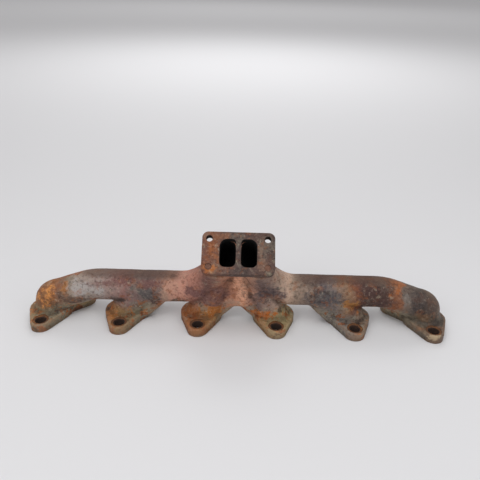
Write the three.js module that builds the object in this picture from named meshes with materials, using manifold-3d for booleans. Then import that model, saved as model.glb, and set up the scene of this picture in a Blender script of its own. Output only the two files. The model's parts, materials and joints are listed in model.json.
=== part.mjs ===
// Six-port cast-iron log exhaust manifold with a divided, centre-mounted turbocharger flange.
// Millimetres. The six port faces lie in the plane z = 0 and look along -Z, +X runs along the
// engine from port 1 to port 6, and the turbocharger flange looks up and towards -Y. The model
// is drawn with the port centres on y = 0; at the end the whole part is moved along Y so that
// the origin lies at the middle of its footprint.
// One casting carries everything. It is laid out here as its named regions, parted along
// plane joints, with the snapped studs of the turbocharger joint as pieces of their own.

import * as THREE from 'three';
import { mergeVertices } from 'three/addons/utils/BufferGeometryUtils.js';
import Module from 'manifold-3d';

const wasm = await Module();
wasm.setup();

// ---------------------------------------------------------------- driving dimensions

const PARTING = 0.3; // gap at every parting plane and round every loose piece
const OVERLAP = 2; // how far joined pipes run into each other
const WALL = 5.4; // casting wall round the gas passages

const PORT_PITCH = 120.65; // port to port along the engine
const PORTS_PER_BANK = 3; // ports that feed each half of the divided flange

const FLANGE_THICKNESS = 13; // port flange plate
const FLANGE_EAR_RADIUS = 30; // outboard bulge of the plate, straight above the lower bolt
const BOSS_RADIUS = 27; // plate round the port itself
const NECK_RADIUS = 21; // plate's narrower run towards the upper bolt
const LUG_RADIUS = 16; // rounded end round each bolt hole
const PORT_INBOARD = 8; // port's centre nearer the middle of the engine than the lower bolt
const LOWER_BOLT_DROP = 38; // lower bolt hole below the port's centre
const UPPER_BOLT_RISE = 33; // upper bolt hole above the port's centre
const UPPER_BOLT_INBOARD = [12, 36, 48]; // nearer the middle than the lower bolt, by port
const BOLT_BORE_RADIUS = 7.8; // clearance hole for a spacer-mounted bolt
const BOLT_CHAMFER = 1.4; // worn chamfer at the top of the bolt hole
const SPOT_FACE_RADIUS = 12; // machined seat under the bolt's spacer
const SPOT_FACE_DEPTH = 0.8;

const BRANCH_WIDTH = 50; // outside of a port's short branch along the engine
const BRANCH_DEPTH = 45; // and across it
const LOG_RADIUS = 24.3; // outside of the log that runs over the ports
const LOG_HEIGHT = 56.5; // centre of the log above the port faces
const LOG_SLOPE_RUN = 67.6; // sloping end of the log, from its knee to the end port
const LOG_SLOPE = THREE.MathUtils.degToRad(20);
const LOG_STRAIGHT_END = 84; // where the log turns into the collector
const BRANCH_SWEEP = 68; // length over which a branch curves into the log
const ELBOW_HEEL = 7; // how far the outside of the end elbow is pushed out at its corner
const FOOT_FLARE = 6; // how much wider a branch is where it leaves its plate
const FOOT_RISE = 20; // height above the plate over which it narrows to its own width
const WEB_LEAN = 32; // how much further inboard a web meets the log than its plate
const WEB_HEIGHT = 46; // where it has merged with the log
const WEB_WIDTH = 40;
const WEB_DEPTH = 32;
const BRANCH_FORWARD = 7; // how far the centre branches stand in front of the log

const TURBO_WIDTH = 104.6; // turbocharger flange along the engine
const TURBO_DEPTH = 63; // turbocharger flange up its slope
const TURBO_THICKNESS = 13;
const TURBO_CORNER_RADIUS = 9;
const TURBO_TILT = THREE.MathUtils.degToRad(44); // its normal leans this far from +Z to -Y
const TURBO_CENTRE_Y = -38.7; // centre of its face
const TURBO_CENTRE_Z = 139.2;
const TURBO_HOLE_SPACING_X = 84;
const TURBO_HOLE_SPACING_Y = 42;
const TURBO_HOLE_RADIUS = 4.9;

const MOUTH_WIDTH = 23.5; // each of the two gas openings
const MOUTH_HEIGHT = 42;
const DIVIDER_THICKNESS = 7.2; // wall between them
const MOUTH_OUTER_RADIUS = 11.5; // round upper outer corner of an opening
const MOUTH_LOWER_RADIUS = 8; // its two lower corners
const MOUTH_INNER_RADIUS = 6; // its upper corner by the dividing wall
const THROAT_LENGTH = 24; // straight neck under the flange
const THROAT_SQUARENESS = 4.5; // how square the passage is where it meets the flange

const STUD_LENGTH = 11.4; // what is left of a snapped stud in its hole
const STUD_SUNK = 0.8; // snapped end below the flange face
const STUD_BOSS_RADIUS = 13.5; // iron round a tapped hole, behind the flange
const STUD_BOSS_WIDTH = 42; // boss along the engine, where it blends with the throat
const STUD_BOSS_DEPTH = 44; // how far it runs straight down before it turns to the log
const SADDLE_DEPTH = 38; // web that closes the fork between the two centre branches

const SIDES = 14; // facets round a pipe
const PASSAGE_SIDES = 10; // facets round the passage inside it
const HOLE_SIDES = 12; // facets round a bolt hole

// ---------------------------------------------------------------- derived sizes

const branch_top = LOG_HEIGHT - LOG_RADIUS - PARTING; // parting plane under the log
const mouth_offset = (DIVIDER_THICKNESS + MOUTH_WIDTH) / 2;
const port_from_middle = (index) => (index - 0.5) * PORT_PITCH - PORT_INBOARD;
const end_port = port_from_middle(PORTS_PER_BANK);
const slope_start = end_port - LOG_SLOPE_RUN; // where the log starts to fall
const stud_radius = TURBO_HOLE_RADIUS - PARTING;
const half_gap = PARTING / 2;
const plate_top = FLANGE_THICKNESS + PARTING;
const far = 1000;

const turbo_normal = new THREE.Vector3(0, -Math.sin(TURBO_TILT), Math.cos(TURBO_TILT));
const turbo_up = new THREE.Vector3(0, Math.cos(TURBO_TILT), Math.sin(TURBO_TILT));
const turbo_centre = new THREE.Vector3(0, TURBO_CENTRE_Y, TURBO_CENTRE_Z);
const engine_up = new THREE.Vector3(0, 1, 0);
const banks = [1, -1]; // 1 is the bank at -X, -1 the bank at +X

// ---------------------------------------------------------------- solids

/** A closed three.js geometry as a solid that can be cut and joined. */
function solid(geometry) {
  const bare = (geometry.index ? geometry.toNonIndexed() : geometry).clone();
  bare.deleteAttribute('normal');
  bare.deleteAttribute('uv');
  const merged = mergeVertices(bare, 1e-4);
  const mesh = new wasm.Mesh({
    numProp: 3,
    vertProperties: new Float32Array(merged.attributes.position.array),
    triVerts: new Uint32Array(merged.index.array),
  });
  return new wasm.Manifold(mesh);
}

/** A solid as a three.js geometry. */
function geometryOf(manifold) {
  const mesh = manifold.getMesh();
  const geometry = new THREE.BufferGeometry();
  geometry.setAttribute('position', new THREE.BufferAttribute(mesh.vertProperties, 3));
  geometry.setIndex(new THREE.BufferAttribute(mesh.triVerts, 1));
  geometry.computeVertexNormals();
  return geometry;
}

const join = (solids) => solids.reduce((whole, next) => whole.add(next));

/** A box between two corners. */
function box(low, high) {
  const size = high.map((value, axis) => value - low[axis]);
  const middle = high.map((value, axis) => (value + low[axis]) / 2);
  return solid(new THREE.BoxGeometry(...size).translate(...middle));
}

/** A round bar or hole along Z between two heights. */
function bar(radius, x, y, low, high, top_radius = radius) {
  const geometry = new THREE.CylinderGeometry(top_radius, radius, high - low, HOLE_SIDES);
  geometry.rotateX(Math.PI / 2);
  return solid(geometry.translate(x, y, (low + high) / 2));
}

/** A flat shape made into a plate between two heights. */
function plate(shape, low, high) {
  const options = { depth: high - low, bevelEnabled: false, curveSegments: 5 };
  return solid(new THREE.ExtrudeGeometry(shape, options).translate(0, 0, low));
}

/** Moves a geometry's or solid's points from the turbocharger flange's own axes into place. */
const turbo_frame = new THREE.Matrix4()
  .makeRotationX(TURBO_TILT)
  .setPosition(turbo_centre);

function onTurboFlange(manifold) {
  return solid(geometryOf(manifold).applyMatrix4(turbo_frame));
}

/**
 * A pipe of changing section along a curve. The section is a superellipse: `across` and
 * `along` are its half widths at each end, and `power` is 2 for round and higher for squarer.
 */
function pipe({ curve, across, along, power, steps, flat, sides = SIDES }) {
  const geometry = new THREE.CylinderGeometry(1, 1, 1, sides, steps);
  const position = geometry.attributes.position;
  const point = new THREE.Vector3();
  const tangent = new THREE.Vector3();
  const up = new THREE.Vector3();
  const side = new THREE.Vector3();
  for (let i = 0; i < position.count; i += 1) {
    const t = THREE.MathUtils.clamp(position.getY(i) + 0.5, 0, 1);
    const blend = THREE.MathUtils.smoothstep(t, 0, 1);
    const cosine = position.getX(i);
    const sine = position.getZ(i);
    const squareness = THREE.MathUtils.lerp(power[0], power[1], blend);
    const reach = Math.abs(cosine) ** squareness + Math.abs(sine) ** squareness;
    const scale = reach > 0 ? reach ** (-1 / squareness) : 0;
    curve.getPointAt(t, point);
    curve.getTangentAt(t, tangent);
    up.copy(flat).addScaledVector(tangent, -flat.dot(tangent)).normalize();
    side.crossVectors(tangent, up);
    point.addScaledVector(side, cosine * scale * THREE.MathUtils.lerp(...across, blend));
    point.addScaledVector(up, sine * scale * THREE.MathUtils.lerp(...along, blend));
    position.setXYZ(i, point.x, point.y, point.z);
  }
  return solid(geometry);
}

// ---------------------------------------------------------------- outlines

/** The outline that a tight band takes round discs { x, y, r } listed anticlockwise. */
function bandRound(discs) {
  const outline = new THREE.Shape();
  const normals = discs.map((disc, i) => {
    const next = discs[(i + 1) % discs.length];
    const dx = next.x - disc.x;
    const dy = next.y - disc.y;
    return Math.atan2(dy, dx) - Math.acos((disc.r - next.r) / Math.hypot(dx, dy));
  });
  discs.forEach((disc, i) => {
    const from = normals[(i + discs.length - 1) % discs.length];
    outline.absarc(disc.x, disc.y, disc.r, from, normals[i], false);
  });
  outline.closePath();
  return outline;
}

/** A rectangle round the origin whose corners have their own radii, anticlockwise from +X+Y. */
function roundedRectangle(width, height, radii) {
  const outline = new THREE.Shape();
  const corners = [[1, 1], [-1, 1], [-1, -1], [1, -1]];
  corners.forEach(([sx, sy], i) => {
    const r = radii[i];
    const start = (i * Math.PI) / 2;
    outline.absarc(sx * (width / 2 - r), sy * (height / 2 - r), r, start, start + Math.PI / 2);
  });
  outline.closePath();
  return outline;
}

// ---------------------------------------------------------------- port flanges

const flange_x = (number) => (number - PORTS_PER_BANK - 0.5) * PORT_PITCH;
const inboard = (number) => -Math.sign(flange_x(number));

/** How much nearer the middle of the engine a plate's upper bolt is than its lower one. */
function upperBoltInboard(number) {
  const from_middle = Math.floor(Math.abs(number - PORTS_PER_BANK - 0.5));
  return UPPER_BOLT_INBOARD[from_middle];
}

/** A disc placed from a flange's lower bolt, `nearer` being towards the middle of the engine. */
function disc(number, nearer, y, r) {
  return { x: flange_x(number) + inboard(number) * nearer, y, r };
}

/** A plate in the shape of a band round discs listed anticlockwise on the ports of -X. */
function bandPlate(number, discs) {
  const ordered = inboard(number) < 0 ? [...discs].reverse() : discs;
  return plate(bandRound(ordered), 0, FLANGE_THICKNESS);
}

/** An oval hole or bar at a port, upright, with the size of the branch less a wall. */
function portBar(number, wall, low, high) {
  const geometry = new THREE.CylinderGeometry(1, 1, high - low, PASSAGE_SIDES).rotateX(Math.PI / 2);
  geometry.scale(BRANCH_WIDTH / 2 - wall, BRANCH_DEPTH / 2 - wall, 1);
  const x = flange_x(number) + inboard(number) * PORT_INBOARD;
  return solid(geometry.translate(x, 0, (low + high) / 2));
}

/** One port flange: a lobed plate with its port, two bolt holes and their seats. */
function portFlange(number) {
  const lower = disc(number, 0, -LOWER_BOLT_DROP, LUG_RADIUS);
  const upper = disc(number, upperBoltInboard(number), UPPER_BOLT_RISE, LUG_RADIUS);
  const ear = disc(number, 0, 0, FLANGE_EAR_RADIUS);
  const boss = disc(number, PORT_INBOARD, 0, BOSS_RADIUS);
  const neck = disc(number, PORT_INBOARD, LUG_RADIUS / 3, NECK_RADIUS);
  const blank = bandPlate(number, [lower, boss, ear]).add(bandPlate(number, [neck, upper]));
  const over = FLANGE_THICKNESS + 1;
  const seat = FLANGE_THICKNESS - SPOT_FACE_DEPTH;
  const mouth = BOLT_BORE_RADIUS + BOLT_CHAMFER;
  const cuts = [portBar(number, WALL, -1, over)];
  for (const { x, y } of [lower, upper]) {
    cuts.push(bar(BOLT_BORE_RADIUS, x, y, -1, over));
    cuts.push(bar(SPOT_FACE_RADIUS, x, y, seat, over));
    cuts.push(bar(BOLT_BORE_RADIUS, x, y, seat - BOLT_CHAMFER, seat, mouth));
  }
  return blank.subtract(join(cuts));
}

// ---------------------------------------------------------------- gas passages and their walls

/** A point given for the bank of ports on the -X side, moved to the bank asked for. */
const at = (bank, x, y, z) => new THREE.Vector3(bank * x, y, z);

/** Centre line of the end elbow and log: up out of the end port, over, and along the log. */
function logCurve(bank) {
  const fall = Math.tan(LOG_SLOPE);
  const knee_x = -slope_start;
  const elbow_z = LOG_HEIGHT - LOG_SLOPE_RUN * fall;
  const elbow_run = 15;
  const knee_run = 12;
  const foot = at(bank, -end_port, 0, FLANGE_THICKNESS + 4);
  const over = at(bank, -end_port + elbow_run, 0, elbow_z + elbow_run * fall);
  const corner = at(bank, -end_port - ELBOW_HEEL, 0, elbow_z + ELBOW_HEEL / 3);
  const before = at(bank, knee_x - knee_run, 0, LOG_HEIGHT - knee_run * fall);
  const after = at(bank, knee_x + knee_run, 0, LOG_HEIGHT);
  const path = new THREE.CurvePath();
  path.add(new THREE.LineCurve3(at(bank, -end_port, 0, -2), foot));
  path.add(new THREE.QuadraticBezierCurve3(foot, corner, over));
  path.add(new THREE.LineCurve3(over, before));
  path.add(new THREE.QuadraticBezierCurve3(before, at(bank, knee_x, 0, LOG_HEIGHT), after));
  path.add(new THREE.LineCurve3(after, at(bank, -LOG_STRAIGHT_END, 0, LOG_HEIGHT)));
  return path;
}

/** Centre line of a middle branch: up out of its port and swept into the log. */
function branchCurve(bank) {
  const x = -port_from_middle(PORTS_PER_BANK - 1);
  return new THREE.CubicBezierCurve3(
    at(bank, x, 0, -2),
    at(bank, x, 0, LOG_HEIGHT * 0.6),
    at(bank, x + BRANCH_SWEEP * 0.3, 0, LOG_HEIGHT),
    at(bank, x + BRANCH_SWEEP, 0, LOG_HEIGHT),
  );
}

const throat_foot = (bank) => turbo_centre.clone()
  .addScaledVector(turbo_normal, -TURBO_THICKNESS - THROAT_LENGTH)
  .add(at(bank, -mouth_offset, 0, 0));

/** Centre line of the collector: on from the log, up and round into one half of the throat. */
function collectorCurve(bank) {
  const top = throat_foot(bank);
  const start = at(bank, -LOG_STRAIGHT_END - 2, 0, LOG_HEIGHT);
  const lead_in = at(bank, -LOG_STRAIGHT_END + 38, 0, LOG_HEIGHT);
  return new THREE.CubicBezierCurve3(
    start,
    lead_in,
    top.clone().addScaledVector(turbo_normal, -30),
    top,
  );
}

/** Centre line of the centre branch: out of its port, inwards and forwards into the throat. */
function centreBranchCurve(bank) {
  const x = -port_from_middle(1);
  const top = throat_foot(bank).addScaledVector(turbo_up, -3);
  return new THREE.CubicBezierCurve3(
    at(bank, x, 0, -2),
    at(bank, x, -BRANCH_FORWARD, 44),
    top.clone().addScaledVector(turbo_normal, -34).addScaledVector(engine_up, -BRANCH_FORWARD),
    top,
  );
}

/** Every pipe of one bank, drawn `wall` inside its outer size. */
function bankOfPipes(bank, wall, sides) {
  const log = LOG_RADIUS - wall;
  const width = BRANCH_WIDTH / 2 - wall;
  const depth = BRANCH_DEPTH / 2 - wall;
  const mouth_across = MOUTH_WIDTH / 2 + WALL - wall;
  const mouth_along = MOUTH_HEIGHT / 2 + WALL - wall;
  const throat = throat_foot(bank).addScaledVector(turbo_normal, -OVERLAP);
  const mouth = throat_foot(bank).addScaledVector(turbo_normal, THROAT_LENGTH + 1);
  const round = [2, 2];
  const log_pipe = {
    curve: logCurve(bank), across: [width, log], along: [depth, log], power: round, steps: 18,
  };
  const branch = {
    curve: branchCurve(bank), across: [width, log - 1], along: [depth, log - 1],
    power: round, steps: 6,
  };
  const centre_branch = {
    curve: centreBranchCurve(bank), across: [width, mouth_across], along: [depth, depth],
    power: round, steps: 6,
  };
  const collector = {
    curve: collectorCurve(bank), across: [log, mouth_across], along: [log, mouth_along],
    power: [2, THROAT_SQUARENESS], steps: 7,
  };
  const neck = {
    curve: new THREE.LineCurve3(throat, mouth), across: [mouth_across, mouth_across],
    along: [mouth_along, mouth_along], power: [THROAT_SQUARENESS, THROAT_SQUARENESS], steps: 1,
  };
  const engine_pipes = [log_pipe, branch, centre_branch];
  return join([
    ...engine_pipes.map((one) => pipe({ ...one, flat: engine_up, sides })),
    ...[collector, neck].map((one) => pipe({ ...one, flat: turbo_up, sides })),
  ]);
}

/** A point in the turbocharger flange's own axes. */
const onFlange = (x, y, z) => new THREE.Vector3(x, y, z).applyMatrix4(turbo_frame);

/** The rounded boss behind a tapped hole, running down and out into the log. */
function studBoss(bank) {
  const x = -bank * (TURBO_WIDTH / 2 - STUD_BOSS_WIDTH / 2 - 1);
  const y = -TURBO_HOLE_SPACING_Y / 2;
  const top = onFlange(x, y, -TURBO_THICKNESS + 1);
  const under = onFlange(x, y, -TURBO_THICKNESS - STUD_BOSS_DEPTH);
  const end = at(bank, -LOG_STRAIGHT_END, 0, LOG_HEIGHT);
  const log_end = LOG_RADIUS - 5;
  return pipe({
    curve: new THREE.QuadraticBezierCurve3(top, under, end),
    across: [STUD_BOSS_WIDTH / 2, log_end],
    along: [STUD_BOSS_RADIUS, log_end],
    power: [2.5, 2],
    steps: 5,
    flat: engine_up,
  });
}

/** The web that closes the fork between the two centre branches and fills the neck's front. */
function saddle() {
  const throat = turbo_centre.clone()
    .addScaledVector(turbo_normal, -TURBO_THICKNESS - THROAT_LENGTH);
  const foot = new THREE.Vector3(0, 0, branch_top);
  const rise = new THREE.Vector3(0, 0, LOG_HEIGHT);
  const top = throat.clone().addScaledVector(turbo_up, -4);
  const bend = top.clone().addScaledVector(turbo_normal, -20);
  return pipe({
    curve: new THREE.CubicBezierCurve3(foot, rise, bend, top),
    across: [port_from_middle(1) - BRANCH_WIDTH / 3, mouth_offset],
    along: [SADDLE_DEPTH / 2, SADDLE_DEPTH / 2 + 4],
    power: [4, 3],
    steps: 6,
    flat: engine_up,
  });
}

/** The flare at the foot of a port's branch. */
function foot(bank, index) {
  const x = -port_from_middle(index) - FOOT_FLARE / 2;
  const high = FLANGE_THICKNESS + FOOT_RISE;
  return pipe({
    curve: new THREE.LineCurve3(at(bank, x, 0, OVERLAP), at(bank, x, 0, high)),
    across: [BRANCH_WIDTH / 2 + FOOT_FLARE, BRANCH_WIDTH / 2 - WALL],
    along: [BRANCH_DEPTH / 2 + FOOT_FLARE * 0.8, BRANCH_DEPTH / 2 - WALL],
    power: [2, 2],
    steps: 3,
    flat: engine_up,
  });
}

/** The web that leans from a plate's arm, beside its branch, in to the log or the saddle. */
function web(bank, index) {
  const x = -port_from_middle(index) + UPPER_BOLT_INBOARD[index - 1] / 3;
  return pipe({
    curve: new THREE.LineCurve3(
      at(bank, x, 2, FLANGE_THICKNESS - 5),
      at(bank, x + WEB_LEAN, 0, WEB_HEIGHT),
    ),
    across: [WEB_WIDTH / 2, WEB_WIDTH / 2 + 2],
    along: [WEB_DEPTH / 2, WEB_DEPTH / 2 + 4],
    power: [2.5, 2.5],
    steps: 4,
    flat: engine_up,
  });
}

const bosses = banks.map(studBoss);
const walls = banks.map((bank) => bankOfPipes(bank, 0, SIDES));
const feet = banks.flatMap((bank) => [1, 2, 3].map((index) => foot(bank, index)));
const webs = banks.flatMap((bank) => [1, 2].map((index) => web(bank, index)));
const outside = join([...walls, ...bosses, ...feet, ...webs, saddle()]);

/** The passages of one bank, kept to their own side of the dividing wall. */
function passages(bank) {
  const wall = DIVIDER_THICKNESS / 2;
  const limits = [-bank * wall, -bank * far].sort((a, b) => a - b);
  const own_side = box([limits[0], -far, -far], [limits[1], far, far]);
  return bankOfPipes(bank, WALL, PASSAGE_SIDES).intersect(own_side);
}
const inside = join(banks.map(passages));
const hollow_casting = outside.subtract(inside);

// ---------------------------------------------------------------- turbocharger flange

/** One gas opening, its outer upper corner rounder than the rest. */
function mouthShape(bank) {
  const outer = MOUTH_OUTER_RADIUS;
  const inner = MOUTH_INNER_RADIUS;
  const lower = MOUTH_LOWER_RADIUS;
  const radii = bank > 0 ? [inner, outer, lower, lower] : [outer, inner, lower, lower];
  return roundedRectangle(MOUTH_WIDTH, MOUTH_HEIGHT, radii);
}

const turbo_holes = banks.flatMap((bank) => [1, -1].map((row) => ({
  x: -bank * TURBO_HOLE_SPACING_X / 2,
  y: row * TURBO_HOLE_SPACING_Y / 2,
  tapped: row < 0,
  bank,
})));

/** The turbocharger flange with its openings and its four holes. */
function turboFlange() {
  const corners = new Array(4).fill(TURBO_CORNER_RADIUS);
  const blank = plate(roundedRectangle(TURBO_WIDTH, TURBO_DEPTH, corners), -TURBO_THICKNESS, 0);
  const cuts = turbo_holes.map(({ x, y }) => (
    bar(TURBO_HOLE_RADIUS, x, y, -TURBO_THICKNESS - 1, 1)));
  for (const bank of banks) {
    const mouth = plate(mouthShape(bank), -TURBO_THICKNESS - 1, 1);
    cuts.push(mouth.translate([-bank * mouth_offset, 0, 0]));
  }
  return onTurboFlange(blank.subtract(join(cuts)));
}

/** What is left of a stud, seized in a tapped hole. */
function studStub(bank) {
  const hole = turbo_holes.find((one) => one.bank === bank && one.tapped);
  const low = -STUD_SUNK - STUD_LENGTH;
  return onTurboFlange(bar(stud_radius, hole.x, hole.y, low, -STUD_SUNK));
}

// ---------------------------------------------------------------- parting into regions

const elbow_x = end_port - 34;
const runner_x = port_from_middle(PORTS_PER_BANK - 1);
const outer_x = runner_x + BRANCH_WIDTH / 2 + 6;
const inner_x = runner_x - BRANCH_SWEEP * 0.8;
const neck_x = LOG_STRAIGHT_END + 1;
const divider_x = DIVIDER_THICKNESS / 2;
const throat_base = onTurboFlange(box(
  [-far, -far, -TURBO_THICKNESS - THROAT_LENGTH - half_gap],
  [far, far, -TURBO_THICKNESS - PARTING],
));
const under_throat = onTurboFlange(box(
  [-far, -far, -far],
  [far, far, -TURBO_THICKNESS - THROAT_LENGTH - PARTING - half_gap],
));
const under_flange = onTurboFlange(box(
  [-far, -far, -far],
  [far, far, -TURBO_THICKNESS - PARTING],
));

/** The region of the casting between two distances from the middle and two heights. */
function region(bank, near, away, low, high) {
  const xs = [-bank * near, -bank * away].sort((a, b) => a - b);
  return hollow_casting.intersect(box([xs[0], -far, low], [xs[1], far, high]));
}

const iron = (color, roughness = 0.85) => new THREE.MeshStandardMaterial({
  color, roughness, metalness: 0.35,
});

const finishes = {
  flange: iron(0x7c6048, 0.9),
  runner: iron(0x6f655d, 0.88),
  log: iron(0x6f6264, 0.82),
  elbow: iron(0x5c4a3f, 0.85),
  collector: iron(0x70504a, 0.84),
  machined: iron(0x6a4c40, 0.8),
  stud: iron(0x4d3a30, 0.7),
};

const manifold = new THREE.Group();

/** Adds a named piece to the assembly. */
function add(name, piece, material) {
  const mesh = new THREE.Mesh(geometryOf(piece), material);
  mesh.name = name;
  manifold.add(mesh);
}

for (let number = 1; number <= 2 * PORTS_PER_BANK; number += 1) {
  add(`port_flange_${number}`, portFlange(number), finishes.flange);
}

for (const bank of banks) {
  const side = bank > 0 ? 'front' : 'rear';
  const number = (from_end) => (bank > 0 ? from_end : 2 * PORTS_PER_BANK + 1 - from_end);
  const bottom = branch_top + PARTING;
  const elbow = region(bank, elbow_x + half_gap, far, plate_top, far);
  const outer = region(bank, outer_x + half_gap, elbow_x - half_gap, plate_top, far);
  const middle = region(bank, inner_x + half_gap, outer_x - half_gap, bottom, far);
  const inner = region(bank, neck_x + half_gap, inner_x - half_gap, bottom, far);
  const runner = region(bank, inner_x - half_gap, outer_x - half_gap, plate_top, branch_top);
  const centre = region(bank, half_gap, neck_x - half_gap, plate_top, branch_top);
  const collector = region(bank, divider_x + PARTING, neck_x - half_gap, bottom, far);
  add(`end_elbow_${number(1)}`, elbow, finishes.elbow);
  add(`log_outer_${side}`, outer, finishes.log);
  add(`log_middle_${side}`, middle, finishes.log);
  add(`log_inner_${side}`, inner, finishes.log);
  add(`runner_${number(2)}`, runner, finishes.runner);
  add(`runner_${number(3)}`, centre, finishes.runner);
  add(`collector_${side}`, collector.intersect(under_throat), finishes.collector);
  add(`throat_${side}`, collector.intersect(throat_base), finishes.collector);
  add(`stud_stub_${side}`, studStub(bank), finishes.stud);
}

const divider = hollow_casting.intersect(box(
  [-divider_x, -far, branch_top + PARTING],
  [divider_x, far, far],
));
add('divider_wall', divider.intersect(under_flange), finishes.collector);
add('turbo_flange', turboFlange(), finishes.machined);

const bounds = new THREE.Box3().setFromObject(manifold);
manifold.position.y = -(bounds.min.y + bounds.max.y) / 2;

export default manifold;
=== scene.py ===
"""Cast-iron log exhaust manifold with six ports and a divided turbocharger flange.

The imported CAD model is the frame. The casting is drawn again here with round pipes and cast
fillets, cut into the same named regions as the CAD, and dressed in rusted and heat-scaled iron.
Metres throughout, in the frame's own axes.
"""

import json
import logging
import math
from contextlib import contextmanager
from dataclasses import dataclass, field
from enum import Enum
from typing import Iterator, Optional, Sequence

import bmesh
import bpy
import numpy as np
from mathutils import Matrix, Vector

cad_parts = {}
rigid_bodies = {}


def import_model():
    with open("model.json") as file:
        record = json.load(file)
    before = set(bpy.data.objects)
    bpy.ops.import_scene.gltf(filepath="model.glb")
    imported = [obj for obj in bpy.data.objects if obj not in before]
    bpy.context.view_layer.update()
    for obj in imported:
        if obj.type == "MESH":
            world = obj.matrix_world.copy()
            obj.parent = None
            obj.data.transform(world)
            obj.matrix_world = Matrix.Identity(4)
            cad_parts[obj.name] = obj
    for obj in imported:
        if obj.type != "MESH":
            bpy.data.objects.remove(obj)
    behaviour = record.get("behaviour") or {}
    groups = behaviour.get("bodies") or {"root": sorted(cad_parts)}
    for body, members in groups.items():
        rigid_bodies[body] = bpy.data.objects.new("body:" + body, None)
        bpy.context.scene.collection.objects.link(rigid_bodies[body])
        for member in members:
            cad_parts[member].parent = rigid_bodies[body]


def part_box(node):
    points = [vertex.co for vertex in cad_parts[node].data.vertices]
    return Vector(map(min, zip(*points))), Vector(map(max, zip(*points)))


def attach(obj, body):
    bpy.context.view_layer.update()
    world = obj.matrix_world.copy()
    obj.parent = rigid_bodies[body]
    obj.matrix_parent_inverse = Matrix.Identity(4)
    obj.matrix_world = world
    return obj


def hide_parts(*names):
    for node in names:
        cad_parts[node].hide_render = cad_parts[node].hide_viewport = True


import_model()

log = logging.getLogger("manifold")

MM = 0.001


class Side(Enum):
    """The two banks of three ports, by the sign of X they lie on."""

    FRONT = -1
    REAR = 1

    @property
    def label(self) -> str:
        """Name used in the CAD nodes of this bank."""
        return self.name.lower()

    def port(self, from_end: int) -> int:
        """Number of the port that is `from_end` places from this end of the engine."""
        return from_end if self is Side.FRONT else 7 - from_end


# ---------------------------------------------------------------- workbench


def deselect_all() -> None:
    """Nothing selected in object mode."""
    for thing in bpy.context.view_layer.objects:
        thing.select_set(False)


def take(thing: bpy.types.Object) -> bpy.types.Object:
    """Selects one object alone and makes it active."""
    deselect_all()
    thing.select_set(True)
    bpy.context.view_layer.objects.active = thing
    return thing


@contextmanager
def editing(thing: bpy.types.Object) -> Iterator[None]:
    """Edit mode on one object, left again at the end."""
    take(thing)
    bpy.ops.object.mode_set(mode="EDIT")
    try:
        yield
    finally:
        bpy.ops.object.mode_set(mode="OBJECT")


def copy_of(thing: bpy.types.Object, name: str) -> bpy.types.Object:
    """A copy with its own mesh."""
    twin = thing.copy()
    twin.data = thing.data.copy()
    twin.name = name
    twin.data.name = name
    bpy.context.scene.collection.objects.link(twin)
    return twin


def discard(*things: bpy.types.Object) -> None:
    """Removes objects and their meshes."""
    for thing in things:
        data = thing.data
        bpy.data.objects.remove(thing)
        if isinstance(data, bpy.types.Mesh) and not data.users:
            bpy.data.meshes.remove(data)


def joined(things: Sequence[bpy.types.Object], name: str) -> bpy.types.Object:
    """Several objects joined into the first one."""
    take(things[0])
    for thing in things:
        thing.select_set(True)
    bpy.ops.object.join()
    whole = bpy.context.view_layer.objects.active
    whole.name = name
    whole.data.name = name
    return whole


def finish_modifier(thing: bpy.types.Object, kind: str, **settings: object) -> None:
    """Adds one modifier and applies it.

    Args:
        thing: object to change.
        kind: modifier type.
        settings: the modifier's own settings.
    """
    take(thing)
    bpy.ops.object.modifier_add(type=kind)
    modifier = thing.modifiers[-1]
    for key, value in settings.items():
        setattr(modifier, key, value)
    bpy.ops.object.modifier_apply(modifier=modifier.name)


def remesh(thing: bpy.types.Object, voxel: float, passes: int, factor: float = 0.5) -> None:
    """One even skin over everything in the object, smoothed to cast radii."""
    finish_modifier(thing, "REMESH", mode="VOXEL", voxel_size=voxel, use_smooth_shade=True)
    finish_modifier(thing, "SMOOTH", iterations=passes, factor=factor)


def cut_away(thing: bpy.types.Object, cutter: bpy.types.Object) -> None:
    """Takes a closed cutter out of a closed solid."""
    finish_modifier(
        thing, "BOOLEAN", operation="DIFFERENCE", solver="MANIFOLD", object=cutter,
        material_mode="TRANSFER",
    )


def bisect(thing: bpy.types.Object, point: Vector, normal: Vector) -> None:
    """Keeps what lies against the normal's direction and closes the cut.

    Args:
        thing: closed solid.
        point: any point of the plane.
        normal: direction of the side that is taken away.
    """
    with editing(thing):
        bpy.ops.mesh.select_all(action="SELECT")
        bpy.ops.mesh.bisect(
            plane_co=point, plane_no=normal, use_fill=True, clear_inner=False, clear_outer=True
        )


def crisp(thing: bpy.types.Object, degrees: float = 38.0) -> None:
    """Smooth shading that leaves machined edges sharp."""
    take(thing)
    bpy.ops.object.shade_smooth_by_angle(angle=math.radians(degrees))


# ---------------------------------------------------------------- sizes


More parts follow.
